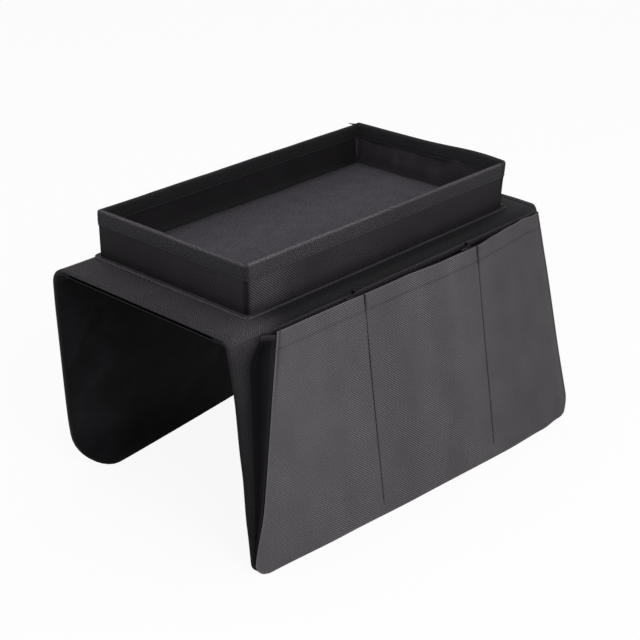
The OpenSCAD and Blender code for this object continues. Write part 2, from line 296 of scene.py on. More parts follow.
def greyboard(name):
    """Grey recycled board, pressed: flecked with fibres and matt."""
    finish, tree, shader = new_material(name, Roughness=0.9, Specular_IOR_Level=0.2)
    place = add(tree, "TexCoord").outputs["Object"]
    fibres = add(tree, "TexNoise", {"Vector": place, "Scale": 700, "Detail": 3})
    tone = add(tree, "Mix", {"Factor": fibres.outputs["Fac"], "A": linear("#6f695e"),
                             "B": linear("#9a9384")}, data_type="RGBA")
    tree.links.new(tone.outputs["Result"], shader.inputs["Base Color"])
    return finish


def thread(name, dark, light):
    """Spun polyester thread: two plies twist round each other about every 0.8 mm."""
    finish, tree, shader = new_material(name, Roughness=0.6, Specular_IOR_Level=0.15)
    place = add(tree, "TexCoord").outputs["Object"]
    plies = add(tree, "TexWave", {"Vector": place, "Scale": WAVE / (0.8 * MM),
                                  "Distortion": 1}, bands_direction="DIAGONAL")
    tone = add(tree, "Mix", {"Factor": plies.outputs["Fac"], "A": linear(dark),
                             "B": linear(light)}, data_type="RGBA")
    tree.links.new(tone.outputs["Result"], shader.inputs["Base Color"])
    return finish


saddle_oxford = oxford("saddle_oxford", "#363337", 0.55, -39, beads=0.8, grain=0.5)
wall_oxford = oxford("tray_wall_oxford", "#2d2a2d", 1, 50, beads=0.2, grain=0.2)
# The pockets' oxford is lighter than the saddle's: painted light on the fronts, which face the
# lamps.
pocket_oxford = oxford("pocket_oxford", "#514e51", 0.6, 50)
# A darker copy of the oxford for the gusset, pleats and mouth hems: painted shade, as they lie in
# shadow.
shaded_oxford = oxford("gusset_oxford", "#1c1a1d", 0.9, 50, grain=0.3, shine=0.05)
tape_oxford = oxford("binding_oxford", "#323033", 0.6, 20, beads=0.9, grain=0.55, pitch=1.9)
wall_lining = oxford("tray_wall_lining", "#1e1c1e", 0.3, 50, shine=0.05, rough=0.6)
arm_lining = lining("arm_side_lining", "#0b0a0c", "#151417")
mat_nap = brushed("brushed_mat", "#343237", "#58555b")
board = greyboard("stiffening_greyboard")
seam_thread = thread("seam_thread", "#080709", "#1c1a1d")
tape_thread = thread("binding_thread", "#19171a", "#4a474b")


# ---- The saddle's two halves, each one run of cloth with its flap ----
class Panel:
    """Half of the saddle and its flap as one run of cloth. x is along the arm. q runs down it:
    it is the depth below the knee, from which the flap hangs straight, negative above it."""

    def __init__(self, side, bend, bend_y, knee, lean, radii, sides, bow):
        self.side, self.bend, self.bend_y, self.knee = side, bend, bend_y, knee
        self.lean, self.radii, self.sides, self.bow = lean, radii, sides, bow

    def turns(self, x):
        """Lean of the flap, depth at which it hangs straight, and the cloth from there to the
        knee, at x."""
        middle, twist, warp = self.lean
        u = x / HALF_LEN
        lean = math.radians(middle + twist * u + warp * u * u)
        straight = self.bend - SADDLE_T - self.bend * math.sin(lean)
        return lean, straight, (self.knee - straight) / math.cos(lean)

    def hang(self, x, v, d):
        """Point on the flap, v below the saddle's underside and d out from its outer face."""
        lean, straight, _ = self.turns(x)
        y = (self.bend_y + self.bend * math.cos(lean) + (v - straight) * math.tan(lean)
             + d + self.bow(x, v))
        return x, self.side * y, -v

    def place(self, x, q, d):
        """Point at x and q, d out from the panel's outer face."""
        lean, straight, above = self.turns(x)
        turn, r, centre_z = math.pi / 2 - lean, self.bend, SADDLE_T - self.bend
        if q > -above:
            v = self.knee + (q if q > 0 else q * math.cos(lean))
            x, y, z = self.hang(x, v, d * math.cos(lean))
            return x, y, z + d * math.sin(lean)
        back = -above - q
        if back < turn * r:
            angle = turn - back / r
            return (x, self.side * (self.bend_y + (r + d) * math.sin(angle)),
                    centre_z + (r + d) * math.cos(angle))
        return x, self.side * (self.bend_y - back + turn * r), SADDLE_T + d

    def marks(self, x):
        """q at the saddle's middle, where the fold starts and ends, and at the knee."""
        lean, _, above = self.turns(x)
        fold = -above - (math.pi / 2 - lean) * self.bend
        return fold - self.bend_y, fold, -above, 0

    def row(self, x, t, bottom):
        """q at t, from 0 at the saddle's middle to 1 at bottom: a quarter of the rows on the
        saddle, a quarter round the fold, half down the flap."""
        middle, fold, end, knee = self.marks(x)
        if t < 0.25:
            return mix(middle, fold, t / 0.25)
        if t < 0.5:
            return mix(fold, end, (t - 0.25) / 0.25)
        return mix(end, bottom, (t - 0.5) / 0.5)

    def edge(self, q, hand, inset=0):
        """Distance of the panel's side edge from its middle at q, rounded at the bottom."""
        r = self.radii[0 if hand < 0 else 1]
        half = along(self.sides[0 if hand < 0 else 1], q + self.knee)
        deep = q - (FLAP_DROP - self.knee - r)
        if deep <= 0:
            return half - inset
        return half - r + math.sqrt(max(0, (r - inset) ** 2 - deep ** 2))

    def outline(self, steps):
        """Stations round the panel's edge from the saddle's middle, down the left side, along
        the bottom and up the right side: x, q and the direction outward there."""
        found = []
        for hand in (-1, 1):
            r = self.radii[0 if hand < 0 else 1]
            bend = FLAP_DROP - self.knee - r
            side = []
            for k in range(steps):
                q = self.row(hand * HALF_LEN, k / steps, bend)
                side.append((hand * self.edge(q, hand), q, hand, 0))
            half = self.edge(bend, hand)
            corner = [(hand * (half - r + r * math.cos(a)), bend + r * math.sin(a),
                       hand * math.cos(a), math.sin(a))
                      for a in (math.pi / 2 * k / 10 for k in range(11))]
            found.append(side + corner)
        left, right = found
        run = [(mix(left[-1][0], right[-1][0], k / 30), left[-1][1], 0, 1)
               for k in range(1, 30)]
        return left + run + right[::-1]


# How far each flap bows out of its plane at its bottom edge, along the arm
NEAR_BOW = [(-199, -2), (-188, 2.5), (-111, 5), (-26, 7), (85, 8), (140, 6), (167, 2.5),
            (191, -4)]


def near_bow(x, v):
    return along(NEAR_BOW, x) * (max(0, v) / FLAP_DROP) ** 1.3


def far_curl(x, v):
    """The far flap's bottom edge curls in under the arm, most at its left corner."""
    return -min(19, max(0, 5.5 - 0.085 * x)) * (max(0, v) / FLAP_DROP) ** 11


near_panel = Panel(-1, 8, 98, 8, (12.5, 3.5, 0), (8, 14),
                   ([(-12, 194), (34, 193), (95, 195.5), (148, 198), (184, 199)],
                    [(-30, 194), (-8, 192.5), (3, 190.5), (40, 189.8), (120, 188.5),
                     (184, 190)]), near_bow)
far_panel = Panel(1, 14, 90, 12, (-0.5, 2.5, 1), (34, 34),
                  ([(-20, 194), (40, 195.2), (184, 195.5)], [(-20, 194), (184, 194)]), far_curl)
FINE = [0, 2, 4, 6, 8, 11, 14, 17, 20, 24, 28, 33, 39, 46]
ACROSS = ([k / 388 for k in FINE] + [(46 + 296 * k / 36) / 388 for k in range(1, 36)]
          + [1 - k / 388 for k in FINE[::-1]])
GRID = (len(ACROSS) - 1, 96)


def mouth_off(x):
    """How far the pocket mouths stand off the near flap at x."""
    return along([(-200, 14), (86, 14), (110, 12.6), (140, 9), (170, 5), (190, 2.6)], x)


def front_left(p, v):
    """The pockets' front is sewn down its left edge to the gusset, and to the dividers behind
    its two seams, which lean a little."""
    if p == 1:
        return mix(-59.5, -66, v / FLAP_DROP)
    if p == 2:
        return mix(85, 70, v / FLAP_DROP)
    slant = 157 + 0.236 * (min(v, 176) + 4)
    deep = min(1, max(0, v - 174) / 10.6)
    return -slant + 9 * (1 - math.sqrt(1 - deep * deep))


def front_right(p, v):
    if p < 2:
        return front_left(p + 1, v)
    return near_panel.edge(v - near_panel.knee, 1, -0.3)


def gusset_foot(v):
    """Where the gusset is sewn to the near flap."""
    return -(160.5 + 13 * ease(v / 22) + 0.142 * max(0, v))


def near_painted_light(x, q):
    """The near cloth is grey and grainy at its left end, with painted light where it bends over
    at the front corner. In the strip before the tray it is painted nearly black, with faint ribs,
    as painted shade, lighter again at the right end. Painted shade darkens it by the gusset, most
    at the gusset's foot and lower down, and it is painted black behind the pockets, as painted
    shadow."""
    _, fold, end, _ = near_panel.marks(x)
    v = q + near_panel.knee
    if q < end - 1.6:
        strip = ease((x + 160) / 34)
        corner = bump(x, -172, 22) * bump(q, fold, 14)
        tone = mix(1 + 0.3 * corner, along([(-160, 0.24), (120, 0.24), (175, 0.34), (192, 0.8)],
                                           x), strip)
        return tone, mix(1, 0.2, strip)
    # painted shade in the fold where the gusset meets the flap, deepening downwards
    if x < front_left(0, v) + 2:
        depth = along([(-2, 0.95), (15, 0.6), (60, 0.36), (184, 0.32)], v)
        edge = ease((gusset_foot(v) + 4 - x) / 16)
        return depth * mix(0.3, 1, edge), 0.9
    if q < end + 0.5:
        return mix(1, 0.9, ease((x + 160) / 20)), 0.3
    # painted shadow behind the pockets
    return 0.07, 0.3


def far_worn(x, q):
    return 1, 0.9


def face_cloth(name, panel, finish, painted_light_and_ribs):
    columns, rows = GRID

    def spot(i, j):
        inset, t = 1.2, 1 - j / rows
        bottom = FLAP_DROP - panel.knee - inset
        q = panel.row(0, t, bottom)
        left, right = -panel.edge(q, -1, inset), panel.edge(q, 1, inset)
        x = mix(left, right, ACROSS[columns - i if panel.side > 0 else i])
        return x, panel.row(x, t, bottom)

    def place(i, j):
        x, q = spot(i, j)
        crease = 0
        if panel.side < 0:
            crease = 0.5 * bump(q, panel.marks(x)[2] - 0.5, 0.8) * ease((x + 164) / 12)
        return panel.place(x, q, 0.25 * ruffle(x, q, 0, 35, panel.side) + crease)

    def lay(i, j, _):
        x, q = spot(i, j)
        return x, q * panel.side

    return cloth(name, columns, rows, place, lay, 1, finish,
                 painted_light_and_ribs=lambda i, j: painted_light_and_ribs(*spot(i, j)))


def back_cloth(name, panel, finish):
    columns, rows = GRID

    def spot(i, j):
        inset, t = 1.2, 1 - j / rows
        bottom = FLAP_DROP - panel.knee - inset
        q = panel.row(0, t, bottom)
        left, right = -panel.edge(q, -1, inset), panel.edge(q, 1, inset)
        x = mix(left, right, ACROSS[i if panel.side > 0 else columns - i])
        return x, panel.row(x, t, bottom)

    def place(i, j):
        x, q = spot(i, j)
        _, fold, end, _ = panel.marks(x)
        deep = mix(SADDLE_T, FLAP_T, ease((q - fold) / (end - fold)))
        slack = 0.2 * ruffle(x, q, 5, 30, panel.side) + 0.5 * ruffle(x, q * 2.2, 9, 70, 2)
        return panel.place(x, q, -deep - abs(slack))

    # The lining is painted lighter towards the saddle's open left end, with painted shade further
    # in.
    def painted_light_and_ribs(i, j):
        x, q = spot(i, j)
        return along([(-196, 1.5), (-150, 1.5), (-120, 1), (0, 0.8)], x), 1

    return cloth(name, columns, rows, place, lambda i, j, _: spot(i, j), 0.8, finish, painted_light_and_ribs=painted_light_and_ribs)


def flap_board(name, panel):
    columns, rows = 24, 24

    def place(i, j):
        inset = 5
        q = mix(0, FLAP_DROP - panel.knee - inset, 1 - j / rows)
        left, right = -panel.edge(q, -1, inset), panel.edge(q, 1, inset)
        x = mix(left, right, (columns - i if panel.side > 0 else i) / columns)
        return panel.place(x, q, -1.2)

    return cloth(name, columns, rows, place, lambda i, j, _: (i * 16, j * 7), 1.6, board)


# A folded edge in section: distance in from the edge, as a share of the hem's width, height
# over the outer face, and the painted light and shade there, light on its ridges and dark in its
# grooves; the second half goes back along the inner face
HEM_OVER = [(1, -0.1, 0.5), (0.98, 0.3, 0.8), (0.9, 0.4, 1.1), (0.84, 0.1, 0.5),
            (0.78, 0.4, 1.1), (0.5, 0.45, 1), (0.26, 0.35, 0.8), (0.2, 0.15, 0.6),
            (0.14, 0.3, 1.1), (0.05, -0.1, 1.1), (0, -0.9, 0.7)]


def edge_hem(name, panel, finish, painted_light_and_ribs):
    """Cloth folded round the panel's edge, wide and stitched on the saddle's ends and narrow
    down the flap."""
    stations = panel.outline(40)
    half = len(HEM_OVER)
    columns, rows = len(stations) - 1, 2 * half - 1

    def station(i):
        return stations[columns - i if panel.side > 0 else i]

    def on_flap(x, q):
        _, fold, end, _ = panel.marks(x)
        return ease((q - fold) / (end - fold))

    def place(i, j):
        x, q, nx, nq = station(i)
        flap = on_flap(x, q)
        width, thick = mix(END_HEM, FLAP_HEM, flap), mix(SADDLE_T, FLAP_T, flap)
        share, d, _ = HEM_OVER[j] if j < half else HEM_OVER[2 * half - 1 - j]
        if j >= half:
            d = -thick - d * 0.8
        elif flap > 0.5:
            d *= 0.6
        a = share * width
        return panel.place(x - a * nx, q - a * nq, d)

    def hem_painted_light(i, j):
        x, q, nx, nq = station(i)
        tone, ribs = painted_light_and_ribs(x - 1.5 * nx, q - 1.5 * nq)
        if j >= half:
            return 0.2, 0.3
        light = HEM_OVER[j][2]
        return tone * mix(light, 1, 0.6 * on_flap(x, q)), ribs

    return cloth(name, columns, rows, place, lambda i, j, _: (i * 7.0, j * 1.6), 0.6, finish,
                 painted_light_and_ribs=hem_painted_light)


near_cloth = face_cloth("near_saddle_cloth", near_panel, saddle_oxford, near_painted_light)
far_cloth = face_cloth("far_saddle_cloth", far_panel, saddle_oxford, far_worn)
near_back = back_cloth("near_arm_side_lining", near_panel, arm_lining)
far_back = back_cloth("far_arm_side_lining", far_panel, arm_lining)
near_board = flap_board("near_flap_stiffener", near_panel)
far_board = flap_board("far_flap_stiffener", far_panel)
near_hem = edge_hem("near_edge_hem", near_panel, saddle_oxford, near_painted_light)
far_hem = edge_hem("far_edge_hem", far_panel, saddle_oxford, far_worn)

# Cloth that crosses a fold turns between the top of the bend and the start of the flap
for piece in (near_cloth, near_back, near_hem):
    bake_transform(piece)
for piece in (far_cloth, far_back, far_hem):
    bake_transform(piece)
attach(near_board, "near_flap")
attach(far_board, "far_flap")
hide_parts("saddle_cover", "near_fold_cloth", "near_flap_face")
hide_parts("far_fold_cloth", "far_flap_face")
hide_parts("saddle_lining", "near_flap_lining")
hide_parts("far_flap_lining")
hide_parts("saddle_hem_left", "saddle_hem_right", "near_flap_hem")
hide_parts("far_flap_hem")
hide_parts("near_flap_board")
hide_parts("far_flap_board")


# ---- The tray ----
LONG_STEPS, SHORT_STEPS, CORNER_STEPS = 48, 28, 8
WALLS = [((1, 0), (0, -1)), ((0, 1), (1, 0)), ((-1, 0), (0, 1)), ((0, -1), (-1, 0))]


def paced(k, steps):
    """Even steps along a wall, with three closer ones at each end, for the corner seams."""
    close = (0, 0.008, 0.018, 0.035)
    if k < 4:
        return close[k]
    if k > steps - 4:
        return 1 - close[steps - k]
    return mix(close[3], 1 - close[3], (k - 3) / (steps - 6))


RING = []
for wall in range(4):
    steps = SHORT_STEPS if wall % 2 else LONG_STEPS
    RING += [(wall, paced(k, steps), 0) for k in range(steps)]
    RING += [(wall, 1, k / CORNER_STEPS) for k in range(CORNER_STEPS)]
RING.append(RING[0])


def ring(i, inset, corner=TRAY_CORNER):
    """Station i round the tray, inset from its outline: x, y, the direction outward, the wall,
    and the distance along the wall from its middle."""
    wall, f, c = RING[i]
    (tx, ty), (nx, ny) = WALLS[wall]
    long_side = wall % 2 == 0
    half_along = (TRAY_HALF[0] if long_side else TRAY_HALF[1]) - inset
    half_out = (TRAY_HALF[1] if long_side else TRAY_HALF[0]) - inset
    r = max(corner - inset, 0.4)
    a = c * math.pi / 2
    run = mix(-(half_along - r), half_along - r, f)
    out = half_out - r + r * math.cos(a)
    side = run + r * math.sin(a)
    ox, oy = nx * math.cos(a) + tx * math.sin(a), ny * math.cos(a) + ty * math.sin(a)
    return (TRAY_MID[0] + nx * out + tx * side, TRAY_MID[1] + ny * out + ty * side, ox, oy,
            wall, run + r * a)


def tray_point(i, inset, z, corner=TRAY_CORNER):
    """Point on the soft walls, which lean and wave a little towards the rim."""
    x, y, ox, oy, _, _ = ring(i, inset, corner)
    high = max(0, (z - SADDLE_T) / (RIM_Z - SADDLE_T))
    loose = max(0, ox) * (1.5 + 4 * bump(y, -50, 38))
    out = loose * high ** 1.5 + 0.8 * high * ruffle(x, y, 0, 60, 3)
    lift = (0.25 * loose - 0.7 * max(0, oy)) * high ** 2
    return x + ox * out, y + oy * out, z + lift


def wall_lay(i, height, middle):
    """Point on the flat walls, cut so that the ribs slant the other way on the short ones."""
    wall = RING[int(middle)][0]
    long_side = wall % 2 == 0
    if RING[i % (len(RING) - 1)][0] != wall:
        half = TRAY_HALF[0] if long_side else TRAY_HALF[1]
        run = half - TRAY_CORNER + TRAY_CORNER * math.pi / 2
    else:
        run = ring(i, 0)[5]
    return (run if long_side else -run) + 400 * wall, height


COLUMNS = len(RING) - 1


def around(name, knots, rows, thick, finish, corner=TRAY_CORNER, puff=None, painted_light_and_ribs=None):
    """Band of cloth round the tray. knots are (inset, height) from its start to its end."""
    def place(i, j):
        inset, z = between(knots, j / rows)
        if puff:
            x, y = ring(i, inset, corner)[:2]
            inset -= puff(i, x, y, z)
        return tray_point(i, inset, z, corner)

    def lay(i, j, middle):
        gone = sum(math.dist(between(knots, k / rows), between(knots, (k + 1) / rows))
                   for k in range(j))
        return wall_lay(i, gone, middle)

    def band_painted_light(i, j):
        inset, z = between(knots, j / rows)
        return painted_light_and_ribs(i, inset, z) if painted_light_and_ribs else (1, 1)

    return cloth(name, COLUMNS, rows, place, lay, thick, finish, painted_light_and_ribs=band_painted_light, closed=True)


def seam_near(i, width):
    """1 at the tray's corner seams, falling to 0 about width away from them."""
    wall, f, c = RING[i]
    half = TRAY_HALF[wall % 2] - TRAY_CORNER
    gone = min(f, 1 - f) * 2 * half + abs(TRAY_CORNER * (c - 0.5) if c else TRAY_CORNER / 2)
    return bump(gone, 0, width)


# Painted light and rib of the outer walls along each wall, where the weave's sheen would catch
# the light
WALL_PAINTED_LIGHT = [
    ([(-160, 1.7), (-135, 1.9), (-108, 1.2), (-85, 0.95), (-60, 1.05), (-20, 0.95), (40, 0.75),
      (100, 0.75), (160, 0.6)],
     [(-150, 1), (-115, 1), (-80, 0.75), (-20, 0.62), (20, 0.35), (60, 0.15), (160, 0.1)]),
    ([(-88, 0.9), (88, 0.9)], [(-88, 0.5), (88, 0.5)]),
    ([(-160, 1), (160, 1)], [(-160, 0.6), (160, 0.6)]),
    ([(-88, 0.8), (-30, 0.85), (20, 1), (60, 1.15), (88, 1.2)],
     [(-88, 0.2), (-60, 0.3), (-30, 0.45), (20, 0.72), (60, 0.85), (88, 0.9)]),
]


def wall_painted_light(i, inset, z):
    wall, run = ring(i, 0)[4:]
    light, ribs = WALL_PAINTED_LIGHT[wall]
    # Painted shade towards the walls' foot; the corner seams are dark.
    low = mix(0.5, 1, ease((z - SADDLE_T) / 12))
    return (along(light, run) * low * (1 - 0.75 * seam_near(i, 2.6)), along(ribs, run))


def pinch(i, x, y, z):
    """The outer cloth is drawn in at its corner seams and is a little uneven."""
    return -0.6 * seam_near(i, 0.9) + 0.3 * ruffle(x, y, z, 28, 4)


def binding_painted_light(i, inset, z):
    """Painted highlight along the rim's folded edge and painted light varying along the near
    wall; a painted shadow line under the binding's lower edge; painted shade on the binding
    inside the tray. The corner seams are dark.
    """
    wall, run = ring(i, 0)[4:]
    seam = 1 - 0.4 * seam_near(i, 1.6)
    if inset > 3:
        return seam * (0.62 if wall == 1 else 0.4), 0.4
    top = ease((z - RIM_Z + 1.6) / 1.4)
    under = 0.45 if z < RIM_Z - RIM_DEPTH + 0.2 else 1
    light = along([(-160, 1.25), (-60, 1.1), (40, 0.9), (160, 0.85)], run) if wall == 0 else 1
    return seam * light * under * mix(1, 2.4 if inset < 1.8 else 0.9, top), 1


walls = around("tray_wall_cloth", [(0, SADDLE_T), (0, 15), (0, 25), (0, 35), (0, 44)], 20, 1,
               wall_oxford, puff=pinch, painted_light_and_ribs=wall_painted_light)
low = RIM_Z - RIM_DEPTH
BINDING = [(0, low - 0.1), (-0.45, low), (-0.5, low + 0.6), (-0.5, low + 1.2),
           (-0.3, low + 1.6), (-0.5, low + 2.1), (-0.55, low + 5), (-0.5, low + 8),
           (-0.45, low + 10.5), (-0.3, low + 11.8), (0.2, low + 12.9), (1, low + 13.4),
           (1.8, low + 13.5), (2.6, low + 13.4), (3.5, low + 12.9), (4.1, low + 11.8),
           (4.3, low + 10), (4.4, low + 7), (4.5, low + 4), (4.4, low + 2.1),
           (4.2, low + 1.6), (4.5, low + 1.1), (4.4, low + 0.3), (3.9, low)]
binding = around("tray_rim_binding_cloth", BINDING, 46, 0.6, tape_oxford, corner=3,
                 puff=lambda i, x, y, z: 0.2 * ruffle(x, y, z, 16, 5) - 0.3 * seam_near(i, 0.9),
                 painted_light_and_ribs=binding_painted_light)


def lining_painted_light(i, inset, z):
    """The right wall's lining stands loose, with painted light on it and painted highlights on
    its soft creases; lower down, and on the other walls, it has painted shade.
    """
    wall, run = ring(i, 0)[4:]
    if wall != 1:
        return mix(0.65, 1, ease((z - 10) / 14)), 0.9
    x, y = ring(i, 0)[:2]
    crease = 1 + 0.75 * max(0, ruffle(y * 1.5, z * 0.9 + y * 0.4, 0, 15, 21))
    return mix(1, 2.5 * crease, ease((z - 9) / 14)), 0.3


def lining_puff(i, x, y, z):
    loose = 1.4 if ring(i, 0)[4] == 1 else 0.5
    return loose * ruffle(x, y * 1.3, z, 20, 6)


inner_cloth = around("tray_lining_cloth",
                     [(3.8, 40), (3.9, 30), (4.2, 22), (4.8, 17), (6, 13.4), (8, 11.2),
                      (10.5, 10.2), (13, 9.6)], 32, 0.7, wall_lining, corner=6,
                     puff=lining_puff, painted_light_and_ribs=lining_painted_light)


def welt_painted_light(i, inset, z):
    """The welt's outer edge is a folded one, with a painted highlight along it. Painted shade
    darkens it before the tray.
    """
    line = bump(inset, -4, 0.55)
    base = along([(-160, 0.8), (-125, 0.3), (160, 0.25)], ring(i, 0)[5]) if RING[i][0] == 0 else 1
    return base * mix(0.95, 1, line) + 1.3 * line * (0.55 if RING[i][0] == 0 else 0.8), 1


welt = around("tray_welt_cloth",
              [(0.4, 5.1), (-0.5, 4.75), (-1.3, 4.7), (-2, 4.9), (-2.8, 5.1), (-3.5, 5.2),
               (-4.2, 5.1), (-4.5, 4.3)], 28, 0.5, saddle_oxford,
              puff=lambda i, x, y, z: 0.25 * ruffle(x, y, z, 20, 7), painted_light_and_ribs=welt_painted_light)
boards = around("tray_wall_stiffeners", [(1.1, SADDLE_T), (1.1, 43)], 4, 1.6, board)

MAT_COLUMNS, MAT_ROWS = 76, 44


def mat_place(i, j):
    inset, r = 8, 9
    hx, hy = TRAY_HALF[0] - inset, TRAY_HALF[1] - inset
    x, y = mix(-hx, hx, i / MAT_COLUMNS), mix(-hy, hy, j / MAT_ROWS)
    a, b = abs(x) - (hx - r), abs(y) - (hy - r)
    if a > 0 and b > 0:
        k = max(a, b) / math.hypot(a, b)
        x, y = math.copysign(hx - r + a * k, x), math.copysign(hy - r + b * k, y)
    rim = min(hx - abs(x), hy - abs(y))
    wave = 1.6 * ruffle(x, y, 0, 34, 12) * (1 - ease(rim / 12))
    z = 10.3 + 0.9 * ease(rim / 14) + 0.35 * ruffle(x, y, 0, 40, 8)
    return TRAY_MID[0] + x, TRAY_MID[1] + y + wave, z


# Painted light towards the mat's front, painted shade towards its back and along its edges by the
# walls.
def mat_painted_light(i, j):
    x, y = i / MAT_COLUMNS, j / MAT_ROWS
    rim = min(x, 1 - x, (1 - y) * 0.6)
    return along([(0, 0.95), (0.55, 1), (1, 0.74)], y) * mix(0.7, 1, ease(rim / 0.05)), 1


mat = cloth("tray_brushed_mat", MAT_COLUMNS, MAT_ROWS, mat_place,
            lambda i, j, _: (mix(-152, 152, i / MAT_COLUMNS), mix(-80, 80, j / MAT_ROWS)), 1.2,
            mat_nap, painted_light_and_ribs=mat_painted_light)
for piece in (walls, binding, inner_cloth, welt, boards, mat):
    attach(piece, "root")
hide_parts("tray_outer_cloth")
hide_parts("tray_rim_binding")
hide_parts("tray_inner_cloth")
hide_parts("tray_welt")
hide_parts("tray_floor_mat")
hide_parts("tray_board_near", "tray_board_far", "tray_board_left",
            "tray_board_right")


# ---- The pockets ----
MOUTH_TOP = [(-160, -4), (-130, -3.8), (-85, -3.4), (-59, -2.7), (-12, -2.5), (40, -0.8),
             (85, -0.4), (113, -1.9), (154, -1.4), (183, 1), (191, 1.6)]
EDGE_STEPS = (0, 0.7, 1.5, 2.4, 3.2, 4.2, 6.5)
FRONT_COLUMNS = 48
# Depths of the rows below the mouth: close about its edge and stitching. The last ones roll
# round the flap's bottom edge, at these distances out from it
DEPTHS = ([0, 0.5, 1.1, 2, 3.5, 6, 9, 11.4, 12.3, 13, 13.7, 15, 18]
          + [18 + 162 * k / 40 for k in range(1, 41)] + [182, 183.2, 184, 184.5, 184.4])
ROLL = {184: 1.25, 184.5: 0.4, 184.4: -0.8}
FRONT_ROWS = len(DEPTHS) - 1
FRONT_NAMES = ("left", "middle", "right")


def front_off(p, s, v):
    """How far the back of front p stands off the flap, s across it from its left edge."""
    t = min(1, max(0, v) / FLAP_DROP)
    x = mix(front_left(p, v), front_right(p, v), s)
    crown = 3 * math.sin(math.pi * s) ** 0.8 * math.sin(math.pi * t)
    return max(0.5, mix(mouth_off(x) - FRONT_T, 0.5, t) + crown)


def front_spot(p, i, u):
    """x, depth, and distances from front p's left and right edges at column i, u below its
    mouth."""
    wide = front_right(p, u) - front_left(p, u)
    last = len(EDGE_STEPS) - 1
    if i <= last:
        gone = EDGE_STEPS[i]
    elif i >= FRONT_COLUMNS - last:
        gone = wide - EDGE_STEPS[FRONT_COLUMNS - i]
    else:
        gone = mix(EDGE_STEPS[-1], wide - EDGE_STEPS[-1],
                   (i - last) / (FRONT_COLUMNS - 2 * last))
    x = front_left(p, u) + gone
    v = u + along(MOUTH_TOP, x) * (1 - ease(u / 60))
    return front_left(p, v) + gone, v, gone, wide - gone


def seam_line(p, u, left, right):
    """1 on the sewn seams beside front p. They are thick at the mouth and end in a bar tack
    above the bottom edge."""
    on = 1 - ease((u - 170) / 6)
    width = mix(1.5, 0.5, ease((u - 4) / 18))
    gone = min(left if p > 0 else 99, right if p < 2 else 99)
    return on * bump(gone, 0, width)


def front_skin(p, i, u):
    """Point of front p's face, with its seams drawn in, its hem and its soft folds."""
    x, v, left, right = front_spot(p, i, u)
    s = left / (left + right)
    off = ROLL[u] if u in ROLL else front_off(p, s, v) + FRONT_T
    if u not in ROLL:
        off -= seam_line(p, u, left, right) * mix(1.2, 0.6, ease(u / 30))
        off -= 0.3 * bump(u, MOUTH_HEM, 0.8)
        loose = math.sin(math.pi * min(1, v / FLAP_DROP + 0.04)) ** 0.5
        off += loose * (0.5 * ruffle(x, v * 0.3, 0, 30, 10 + p)
                        + 0.7 * ruffle(x, v * 0.12, 0, 22, 30))
        if p == 0:
            off -= 0.5 * bump(left, 3.2, 1) * (1 - ease(v / 90))
    if p == 2:
        off = mix(-0.6, off, math.sqrt(1 - (1 - min(1, right / 2.4)) ** 2))
        off -= 0.25 * bump(right, 4.2, 0.8)
    return near_panel.hang(x, v, off)


FRONT_LIGHT = [(-199, 0.95), (-150, 1.02), (-100, 1), (-62, 0.97), (-30, 0.9), (0, 0.98),
               (25, 0.9), (50, 0.97), (86, 0.88), (110, 0.8), (190, 0.78)]
FRONT_RIBS = [(-199, 0.5), (-150, 0.75), (-110, 1), (-60, 0.95), (-30, 1.2), (20, 1.25),
              (60, 0.95), (86, 0.65), (105, 0.33), (130, 0.1), (150, 0), (200, 0)]


def front_painted_light(p, i, u):
    """The pockets' cloth: painted highlights on its top edge, its folded side edges and where it
    rolls round the bottom, painted shade in the grooves beside its side edges; its stitched lines
    are dark, and its ribs show less in places."""
    x, v, left, right = front_spot(p, i, u)
    light = along(FRONT_LIGHT, x) * (1 + 0.5 * bump(u, 0, 0.8))
    light *= 1 - 0.3 * bump(u, MOUTH_HEM, 0.7)
    light *= 1 - 0.8 * seam_line(p, u, left, right)
    light *= 1 + 0.05 * ruffle(x, v * 0.15, 0, 14, 30)
    if p == 0:
        # painted highlight on the left folded edge, painted shade in the groove beside it
        light *= (1 + 0.35 * bump(left, 0, 0.8)) * (1 - 0.5 * bump(left, 3.2, 1.1)
                                                    * (1 - ease(v / 70)))
    if p == 2:
        light *= (1 + 0.2 * bump(right, 0.6, 0.8)) * (1 - 0.4 * bump(right, 3.4, 0.9))
    # painted highlight where the front rolls round the flap's bottom edge
    if u > 183:
        light *= 1.15
    smooth = 0.65 * bump(x, -128, 26) * bump(v, 85, 45)
    fading = 1 + 0.35 * ruffle(x, v, 0, 34, 14)
    return light, along(FRONT_RIBS, x) * (1 - smooth) * fading


fronts, mouth_hems = [], []
for p, where in enumerate(FRONT_NAMES):
    def depth(j):
        return DEPTHS[FRONT_ROWS - j]

    def lay(i, j, _, p=p):
        x, v = front_spot(p, i, depth(j))[:2]
        return x, -v

    def turned_place(i, j, p=p):
        x, v, left, right = front_spot(p, i, 0.3 + (MOUTH_HEM - 0.3) * j / 8)
        return near_panel.hang(x, v, front_off(p, left / (left + right), v) - 0.5)

    front = cloth(f"pocket_front_{where}", FRONT_COLUMNS, FRONT_ROWS,
                  lambda i, j, p=p: front_skin(p, i, depth(j)), lay, FRONT_T - 0.2,
                  pocket_oxford, painted_light_and_ribs=lambda i, j, p=p: front_painted_light(p, i, depth(j)))
    turned = cloth(f"pocket_mouth_hem_{where}", FRONT_COLUMNS, 8, turned_place,
                   lambda i, j, _: (i * 3, j * 1.6), 0.5, shaded_oxford)
    fronts.append(front)
    mouth_hems.append(turned)
    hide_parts(f"pocket_{where}")
    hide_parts(f"mouth_hem_{where}")
    for piece in (front, turned):
        if p < 2:
            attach(piece, f"pocket_{where}")
        else:  # sewn shut along the flap's right edge
            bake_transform(piece)


def crossing(piece, x):
    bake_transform(piece)


